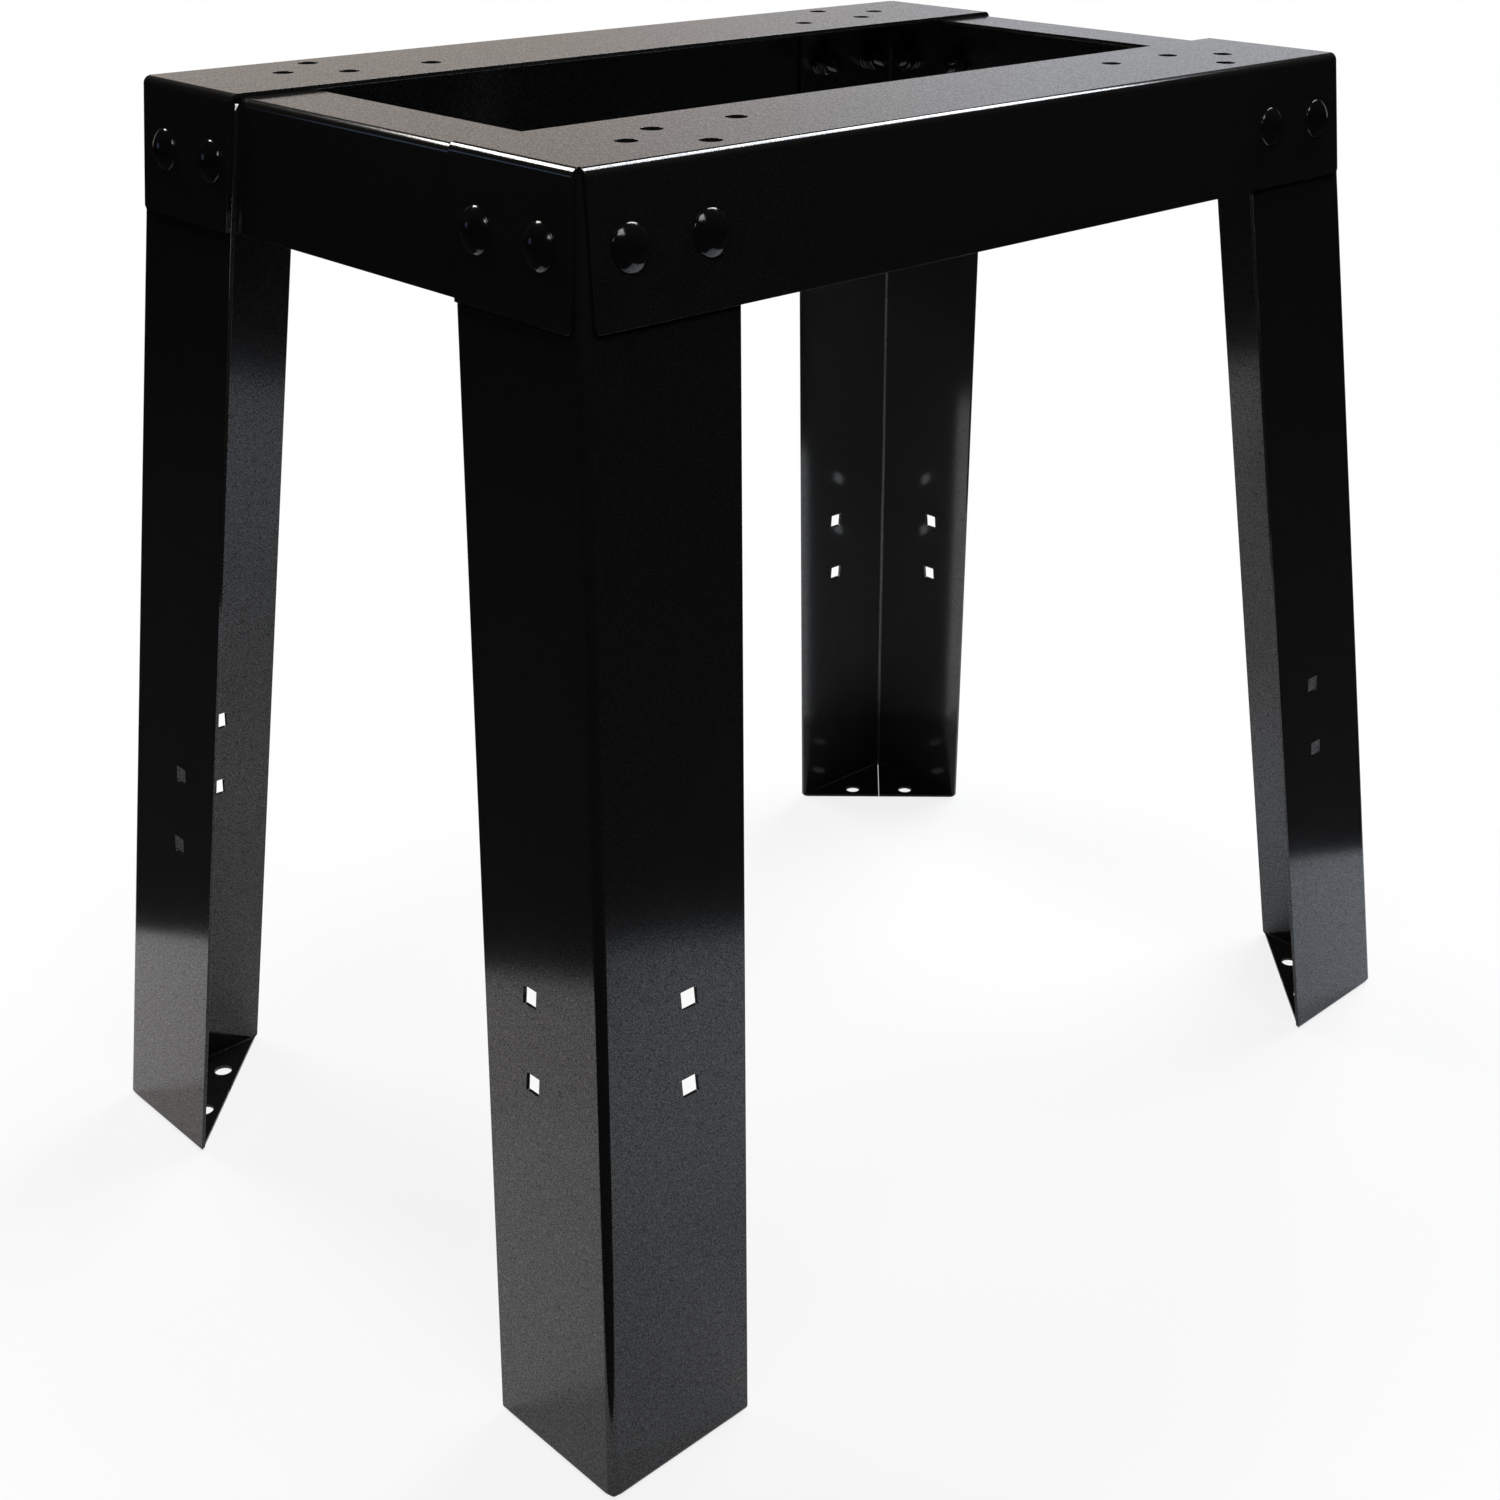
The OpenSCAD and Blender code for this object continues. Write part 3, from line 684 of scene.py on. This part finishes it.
# %% Put the fasteners at the corners
SPANNER_START, SPANNER_STEP = 0.3, 0.7


def bolt_places():
    """Origins and axes (right, up the slope, outwards) of the four bolts of the front left corner, with
    the number of sheets that each holds."""
    sin, cos = math.sin(SPLAY), math.cos(SPLAY)
    front = np.array([[1, 0, 0], [0, sin, cos], [0, -cos, sin]])
    left = np.array([[0, -1, 0], [sin, 0, cos], [-cos, 0, sin]])
    down = BOLT_DROP / cos
    places = []
    for i in (0, 1):
        across = BOLT_EDGE + i * BOLT_PITCH
        places.append((np.array([across - LONG / 2, -WIDE / 2, HIGH]) - front[1] * down, front, 2))
        places.append((np.array([-LONG / 2, across - WIDE / 2, HIGH]) - left[1] * down, left, 3))
    return places


def fastener_group(maker, depth_of, hand):
    """The same shape at the four places, each given its own turn as a spanner leaves it. The bolts
    aren't turned, because their square necks sit in square holes."""
    points, quads, triangles, start = [], [], [], 0
    for i, (origin, axes, sheets) in enumerate(bolt_places()):
        shape, four, three = maker(hand)
        turn = 0.0 if maker is carriage_bolt else SPANNER_STEP * i + SPANNER_START
        sin, cos = math.sin(turn), math.cos(turn)
        spin = np.array([[cos, sin, 0], [-sin, cos, 0], [0, 0, 1]])
        local = shape @ spin - [0, 0, depth_of(sheets)]
        points.append(local @ axes + origin)
        quads.append(four + start)
        triangles.append(three + start)
        start += len(shape)
    return np.concatenate(points), np.concatenate(quads), np.concatenate(triangles)


KINDS = {
    "bolts": (carriage_bolt, lambda sheets: 0.0),
    "washers": (flat_washer, lambda sheets: sheets * SHEET),
    "lock_washers": (lock_washer, lambda sheets: sheets * SHEET + WASHER_H),
    "nuts": (hex_nut, lambda sheets: sheets * SHEET + WASHER_H + LOCK_H),
}
hardware = {}
for corner, flip in CORNERS.items():
    for kind, (maker, depth_of) in KINDS.items():
        node = corner + "_" + kind
        group = fastener_group(maker, depth_of, flip[0] * flip[1])
        hardware[node] = make_piece(node + "_group", *group, flip=flip)
        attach(hardware[node], "root")
        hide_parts(node)
print("fasteners:", sum(len(o.data.polygons) for o in hardware.values()), "faces")

# %% [markdown]
# ## Black enamel
# The paint is a smooth black stove enamel. Close up it has orange peel, a soft ripple a few millimetres
# long, and a fine grain that shows as a faint sparkle. A picture of such paint would blur or repeat, so
# noise makes it. The paint is almost one colour and what changes is its gloss: the group puts out a
# height for a bump, a roughness, a speckle for the weight of the clear coat, and a slow change of tint.

# %% The enamel's surface as a node group
PEEL_SCALE, GRAIN_SCALE, SMUDGE_SCALE, TINT_SCALE = 330.0, 1500.0, 14.0, 5.0
GRAIN_LOW, GRAIN_GAIN = 0.38, 4.0
MIX_A, MIX_B, MIX_OUT = 6, 7, 2


def noise(group, coords, scale, detail):
    """A noise texture's value at the given coordinates."""
    node = group.nodes.new("ShaderNodeTexNoise")
    node.inputs["Scale"].default_value = scale
    node.inputs["Detail"].default_value = detail
    group.links.new(coords, node.inputs["Vector"])
    return node.outputs["Fac"]


def maths(group, kind, a, b):
    """A Math node of two values, each a socket or a number."""
    node = group.nodes.new("ShaderNodeMath")
    node.operation = kind
    for socket, value in zip(node.inputs, (a, b)):
        if hasattr(value, "is_linked"):
            group.links.new(value, socket)
        else:
            socket.default_value = value
    return node.outputs[0]


def enamel_group():
    """Peel and grain make the height. The grain, stretched from GRAIN_LOW up by GRAIN_GAIN and held
    between 0 and 1, is also the speckle."""
    group = bpy.data.node_groups.new("enamel_surface", "ShaderNodeTree")
    for label, value in (("Peel", 1.0), ("Grain", 1.0), ("Roughness", 0.2), ("Smudge", 0.05)):
        socket = group.interface.new_socket(label, in_out="INPUT", socket_type="NodeSocketFloat")
        socket.default_value = value
    for label in ("Height", "Roughness", "Tint", "Speckle"):
        group.interface.new_socket(label, in_out="OUTPUT", socket_type="NodeSocketFloat")
    start, end = group.nodes.new("NodeGroupInput"), group.nodes.new("NodeGroupOutput")
    coords = group.nodes.new("ShaderNodeTexCoord").outputs["Object"]
    peel = maths(group, "MULTIPLY", noise(group, coords, PEEL_SCALE, 1.0), start.outputs["Peel"])
    fine = noise(group, coords, GRAIN_SCALE, 0.0)
    grain = maths(group, "MULTIPLY", fine, start.outputs["Grain"])
    group.links.new(maths(group, "ADD", peel, grain), end.inputs["Height"])
    speckle = maths(group, "MULTIPLY", maths(group, "SUBTRACT", fine, GRAIN_LOW), GRAIN_GAIN)
    held = maths(group, "MINIMUM", maths(group, "MAXIMUM", speckle, 0.0), 1.0)
    group.links.new(held, end.inputs["Speckle"])
    smudge = maths(group, "SUBTRACT", noise(group, coords, SMUDGE_SCALE, 3.0), 0.5)
    smudge = maths(group, "MULTIPLY", smudge, start.outputs["Smudge"])
    group.links.new(maths(group, "ADD", start.outputs["Roughness"], smudge), end.inputs["Roughness"])
    group.links.new(noise(group, coords, TINT_SCALE, 2.0), end.inputs["Tint"])
    return group


ENAMEL = enamel_group()
print("enamel group:", len(ENAMEL.nodes), "nodes")

# %% [markdown]
# ## The two black finishes
# Sheets and bolts share the group with their own values. The sheets are very dark and nearly neutral,
# with a full clear coat that the speckle breaks up. The bolts are darker still, with a thinner coat.

# %% Make the finishes and lay them on
PAINT_IOR = 1.43


def enamel(name, colours, peel, grain, roughness, smudge, bump_mm, coat):
    """Principled paint: the group's height feeds a bump, its tint mixes two near blacks, and its
    speckle times coat is the clear coat's weight."""
    material = bpy.data.materials.new(name)
    material.use_nodes = True
    nodes, links = material.node_tree.nodes, material.node_tree.links
    shader = nodes["Principled BSDF"]
    skin = nodes.new("ShaderNodeGroup")
    skin.node_tree = ENAMEL
    for label, value in (("Peel", peel), ("Grain", grain), ("Roughness", roughness), ("Smudge", smudge)):
        skin.inputs[label].default_value = value
    bump = nodes.new("ShaderNodeBump")
    bump.inputs["Strength"].default_value = 1.0
    bump.inputs["Distance"].default_value = bump_mm * MM
    mix = nodes.new("ShaderNodeMix")
    mix.data_type = "RGBA"
    mix.inputs[MIX_A].default_value = (*colours[0], 1)
    mix.inputs[MIX_B].default_value = (*colours[1], 1)
    links.new(skin.outputs["Tint"], mix.inputs[0])
    links.new(mix.outputs[MIX_OUT], shader.inputs["Base Color"])
    links.new(skin.outputs["Roughness"], shader.inputs["Roughness"])
    weight = maths(material.node_tree, "MULTIPLY", skin.outputs["Speckle"], coat)
    links.new(weight, shader.inputs["Coat Weight"])
    shader.inputs["Coat Roughness"].default_value = roughness
    shader.inputs["IOR"].default_value = PAINT_IOR
    links.new(skin.outputs["Height"], bump.inputs["Height"])
    links.new(bump.outputs["Normal"], shader.inputs["Normal"])
    return material


sheet_enamel = enamel(
    "black_stove_enamel", [(0.0128, 0.0125, 0.0117), (0.0158, 0.0153, 0.0150)],
    peel=1.0, grain=0.10, roughness=0.12, smudge=0.04, bump_mm=0.004, coat=1.0)
bolt_enamel = enamel(
    "black_bolt_finish", [(0.006, 0.006, 0.006), (0.009, 0.009, 0.0095)],
    peel=1.0, grain=0.3, roughness=0.12, smudge=0.05, bump_mm=0.01, coat=0.5)
for piece in steel.values():
    piece.data.materials.append(sheet_enamel)
for piece in hardware.values():
    piece.data.materials.append(bolt_enamel)
print("finishes:", sheet_enamel.name, "on", len(steel), "and", bolt_enamel.name, "on", len(hardware))

# %% [markdown]
# ## The studio
# Black gloss shows the room more than itself. The reflections in the photograph say what stood round the
# stand: a strip of white paper about 1.2 m wide ran under it along the line of sight and rose behind it,
# and the room on both sides was dark. That is why the sides are black, the feet turn grey where they
# mirror the paper, and the top, seen at a low angle, mirrors the pale backdrop.

# %% World: white wherever the camera, gloss or glass looks
def rays_seen(tree, camera, glossy):
    """By Light Path: one number for camera rays, another for glossy and transmission rays, else 0."""
    path = tree.nodes.new("ShaderNodeLightPath")
    gloss = maths(tree, "MAXIMUM", path.outputs["Is Glossy Ray"], path.outputs["Is Transmission Ray"])
    direct = maths(tree, "MULTIPLY", path.outputs["Is Camera Ray"], camera)
    return maths(tree, "MAXIMUM", direct, maths(tree, "MULTIPLY", gloss, glossy))


world = bpy.data.worlds.new("studio")
bpy.context.scene.world = world
world.use_nodes = True
sky = world.node_tree.nodes["Background"]
sky.inputs["Color"].default_value = (1.0, 1.0, 1.0, 1.0)
FILL = 0.25
seen = rays_seen(world.node_tree, 1.0 - FILL, 1.0 - FILL)
world.node_tree.links.new(maths(world.node_tree, "ADD", seen, FILL), sky.inputs["Strength"])
print("world: strength 1 where it is looked at,", FILL, "as fill light")

# %% [markdown]
# ## The paper strip
# The real strip is matt paper. A plain white material would need much more light to look white than
# the stand can bear, so its material mixes in white light for the rays that look at it, a little less
# near the stand, where its shadow shows. It lies along the line of sight, and its near end is just in
# front of the near foot, because the feet mirror it only so far.

# %% The paper strip
VIEW_TURN = math.radians(43.5)
STRIP = np.array([math.cos(VIEW_TURN), math.sin(VIEW_TURN), 0.0])
ACROSS = np.array([-STRIP[1], STRIP[0], 0.0])
PAPER_HALF, PAPER_NEAR, PAPER_FAR = 0.605, -0.455, 3.0
PAPER_ROUGH, PAPER_SHINE, PAPER_RIM = 0.9, 0.2, (0.4, 0.6)
ONE_FACE = np.array([[0, 1, 2, 3]])


def stage_piece(name, points, faces, material, seen=False):
    """A piece of the studio, which the camera sees only where seen is true."""
    mesh = bpy.data.meshes.new(name)
    mesh.from_pydata(points.tolist(), [], faces.tolist())
    mesh.materials.append(material)
    piece = bpy.data.objects.new(name, mesh)
    bpy.context.scene.collection.objects.link(piece)
    piece.visible_camera = seen


def pale(name, painted_light_tones, camera, glossy):
    """Matt paper, mixed with white light for the rays that look at it: camera and glossy are its
    shares. Its two colours are painted light, uneven light across it: they blend from the left of the
    picture to the right, between the two distances that follow them, and camera rays see plain white
    instead, so the painted light shows only in reflections. Between PAPER_RIM's two distances the
    camera's share grows to plain white, so the paper's border doesn't show."""
    finish = bpy.data.materials.new(name)
    finish.use_nodes = True
    tree = finish.node_tree
    matt, glow = tree.nodes["Principled BSDF"], tree.nodes.new("ShaderNodeEmission")
    matt.inputs["Roughness"].default_value = PAPER_ROUGH
    matt.inputs["Specular IOR Level"].default_value = PAPER_SHINE
    path = tree.nodes.new("ShaderNodeLightPath")
    coords, side = tree.nodes.new("ShaderNodeTexCoord"), tree.nodes.new("ShaderNodeVectorMath")
    side.operation = "DOT_PRODUCT"
    side.inputs[1].default_value = -ACROSS
    tree.links.new(coords.outputs["Object"], side.inputs[0])
    # The blend of the two colours is painted light, uneven across the sheet
    shade = tree.nodes.new("ShaderNodeMix")
    shade.data_type = "RGBA"
    shade.inputs[MIX_A].default_value = (*painted_light_tones[0], 1)
    shade.inputs[MIX_B].default_value = (*painted_light_tones[1], 1)
    ramp = tree.nodes.new("ShaderNodeMapRange")
    ramp.inputs["From Min"].default_value, ramp.inputs["From Max"].default_value = painted_light_tones[2]
    tree.links.new(side.outputs["Value"], ramp.inputs["Value"])
    tree.links.new(ramp.outputs["Result"], shade.inputs[0])
    neutral = tree.nodes.new("ShaderNodeMix")
    neutral.data_type = "RGBA"
    neutral.inputs[MIX_B].default_value = (1.0, 1.0, 1.0, 1.0)
    tree.links.new(path.outputs["Is Camera Ray"], neutral.inputs[0])
    tree.links.new(shade.outputs[MIX_OUT], neutral.inputs[MIX_A])
    blend = tree.nodes.new("ShaderNodeMixShader")
    for target in (matt.inputs["Base Color"], glow.inputs["Color"]):
        tree.links.new(neutral.outputs[MIX_OUT], target)
    middle, fade = tree.nodes.new("ShaderNodeVectorMath"), tree.nodes.new("ShaderNodeMapRange")
    middle.operation = "LENGTH"
    fade.interpolation_type = "SMOOTHSTEP"
    fade.inputs["From Min"].default_value, fade.inputs["From Max"].default_value = PAPER_RIM
    fade.inputs["To Min"].default_value = camera
    tree.links.new(coords.outputs["Object"], middle.inputs[0])
    tree.links.new(middle.outputs["Value"], fade.inputs["Value"])
    tree.links.new(rays_seen(tree, fade.outputs["Result"], glossy), blend.inputs[0])
    tree.links.new(matt.outputs[0], blend.inputs[1])
    tree.links.new(glow.outputs[0], blend.inputs[2])
    tree.links.new(blend.outputs[0], tree.nodes["Material Output"].inputs["Surface"])
    return finish


# Painted light on the paper: warmer on the left of the picture, cooler and a little darker on the right,
# seen only in reflections
paper_painted_light = [(1.0, 0.97, 0.97), (0.86, 0.91, 0.97), (-0.45, 0.45)]
white_paper = pale("white_paper", paper_painted_light, camera=0.84, glossy=0.1)
paper_corners = np.array([
    STRIP * PAPER_NEAR - ACROSS * PAPER_HALF, STRIP * PAPER_FAR - ACROSS * PAPER_HALF,
    STRIP * PAPER_FAR + ACROSS * PAPER_HALF, STRIP * PAPER_NEAR + ACROSS * PAPER_HALF])
stage_piece("paper", paper_corners, ONE_FACE, white_paper, seen=True)
print("paper:", PAPER_HALF * 2, "m wide,", PAPER_FAR - PAPER_NEAR, "m long")

# %% [markdown]
# ## The dark room round the strip
# The room is a dome that the camera doesn't see, but the reflections do. Its part behind the stand,
# which the top mirrors, is the pale backdrop, cut from the same grid so that no gap opens between them.

# %% The dark room round the strip
ROOM_R = 6.0
BACK_FROM, BACK_TO, BACK_HIGH = 0.0, 90.0, 24.0
FLOOR_GAP = 0.004
DARK = (0.02, 0.02, 0.022, 1)


def room_dome():
    """A dome on a grid of azimuth and elevation. Its faces behind the stand, where the backdrop hangs,
    come back separately."""
    azimuth = np.radians(np.arange(0, 361, 5))
    height = np.radians(np.concatenate([np.arange(0, 25, 3), np.arange(30, 91, 10)]))
    az, el = np.meshgrid(azimuth, height)
    points = np.stack([np.cos(az) * np.cos(el), np.sin(az) * np.cos(el), np.sin(el)], -1) * ROOM_R
    rows, cols = az.shape
    i, j = np.meshgrid(np.arange(rows - 1), np.arange(cols - 1), indexing="ij")
    quads = np.stack([i * cols + j, i * cols + j + 1, (i + 1) * cols + j + 1, (i + 1) * cols + j], -1)
    centre = np.degrees((azimuth[:-1] + azimuth[1:]) / 2)
    behind = (centre > BACK_FROM) & (centre < BACK_TO)
    low = np.degrees(height[1:]) <= BACK_HIGH + 0.5
    back = low[:, None] & behind[None, :]
    return points.reshape(-1, 3), quads[~back], quads[back]


dark = bpy.data.materials.new("dark_room")
dark.use_nodes = True
dark_shader = dark.node_tree.nodes["Principled BSDF"]
dark_shader.inputs["Base Color"].default_value = DARK
dark_shader.inputs["Roughness"].default_value = 1.0
dark_shader.inputs["Specular IOR Level"].default_value = 0.0
# Painted light on the backdrop: darker and warmer on the left of the picture, brighter and cooler on the
# right, as the top mirrors it
backdrop = pale("pale_backdrop", [(0.50, 0.45, 0.415), (0.59, 0.60, 0.635), (-1.0, 0.5)],
                camera=1.0, glossy=0.9)
dome_points, dark_quads, pale_quads = room_dome()
stage_piece("room", dome_points, dark_quads, dark)
stage_piece("backdrop", dome_points, pale_quads, backdrop)
ground = np.array([[-1, -1, 0], [1, -1, 0], [1, 1, 0], [-1, 1, 0]]) * ROOM_R - [0, 0, FLOOR_GAP]
stage_piece("room_floor", ground, ONE_FACE, dark)
print("room:", len(dark_quads), "dark faces,", len(pale_quads), "pale faces")

# %% [markdown]
# ## Lamps
# On black gloss a lamp is a shape that is seen, not only light. Each softbox is where the photograph
# shows one mirrored: in the folds round the top, on the bolt heads, and as a faint blue glow at the
# left. They are weak, so the paint keeps its own black.

# %% Soft lamps
LAMP_AIM = Vector((0.0, 0.0, 0.4))


def soft_lamp(name, place, size, watts, colour):
    """A rectangular softbox that faces the upper half of the stand. Its radiance is its watts over pi
    times its area."""
    data = bpy.data.lights.new(name, "AREA")
    data.shape = "RECTANGLE"
    data.size, data.size_y = size
    data.energy, data.color = watts, colour
    lamp = bpy.data.objects.new(name, data)
    bpy.context.scene.collection.objects.link(lamp)
    aim = LAMP_AIM - Vector(place)
    lamp.matrix_world = Matrix.Translation(place) @ aim.to_track_quat("-Z", "Y").to_matrix().to_4x4()
    print(name, "radiance", round(watts / (math.pi * size[0] * size[1]), 1))


soft_lamp("lamp_back_left", (-0.28, 1.66, 2.14), (1.05, 0.6), 28.0, (1.0, 0.96, 0.92))
soft_lamp("lamp_right", (1.1, 0.1, 2.0), (1.0, 1.0), 36.0, (0.92, 0.96, 1.0))
soft_lamp("lamp_front", (-0.40, -1.3, 2.1), (0.7, 0.7), 9.0, (0.97, 1.0, 1.0))
soft_lamp("lamp_left", (-1.8, -0.65, 1.7), (0.5, 0.35), 4.4, (1.0, 0.95, 0.9))
soft_lamp("glow_left", (-1.82, 2.08, 0.80), (0.5, 0.4), 0.35, (0.42, 0.6, 1.0))

# %% [markdown]
# ## The camera
# It stands where the photograph's camera stood, found by fitting the stand's edges and holes to the
# picture. Its angles are its height, its turn round the stand and a slight roll, in radians. The
# lens's centre isn't the picture's middle, so the lens is shifted.

# %% The camera of the photograph
CAM_EL, CAM_AZ, CAM_ROLL = 0.408161, -0.798256, 0.012161
CAM_RIGHT, CAM_UP, CAM_BACK = 0.050614, -0.036957, 1.190611
FOCAL_PX, CENTRE_PX, IMAGE_PX = 2103.4, (866.99, 661.81), 1500
level = math.cos(CAM_EL)
back = Vector((math.sin(CAM_AZ) * level, -math.cos(CAM_AZ) * level, math.sin(CAM_EL)))
right = Vector((math.cos(CAM_AZ), math.sin(CAM_AZ), 0.0))
up = back.cross(right)
place = Vector((0, 0, HIGH * MM / 2)) + right * CAM_RIGHT + up * CAM_UP + back * CAM_BACK
turned_right = right * math.cos(CAM_ROLL) + up * math.sin(CAM_ROLL)
turned_up = up * math.cos(CAM_ROLL) - right * math.sin(CAM_ROLL)
camera = bpy.data.objects.new("camera", bpy.data.cameras.new("camera"))
bpy.context.scene.collection.objects.link(camera)
turned = Matrix((turned_right, turned_up, back)).transposed().to_4x4()
camera.matrix_world = Matrix.Translation(place) @ turned
camera.data.sensor_width = 36.0
camera.data.lens = FOCAL_PX / IMAGE_PX * camera.data.sensor_width
camera.data.shift_x = (IMAGE_PX / 2 - CENTRE_PX[0]) / IMAGE_PX
camera.data.shift_y = (CENTRE_PX[1] - IMAGE_PX / 2) / IMAGE_PX
camera.data.clip_start, camera.data.clip_end = 0.05, 50.0
bpy.context.scene.camera = camera
print("camera at", [round(v, 3) for v in place])

# %% [markdown]
# ## The last step
# The picture keeps its colours as they are rendered.

# %% Finish
bpy.context.scene.view_settings.view_transform = "Standard"
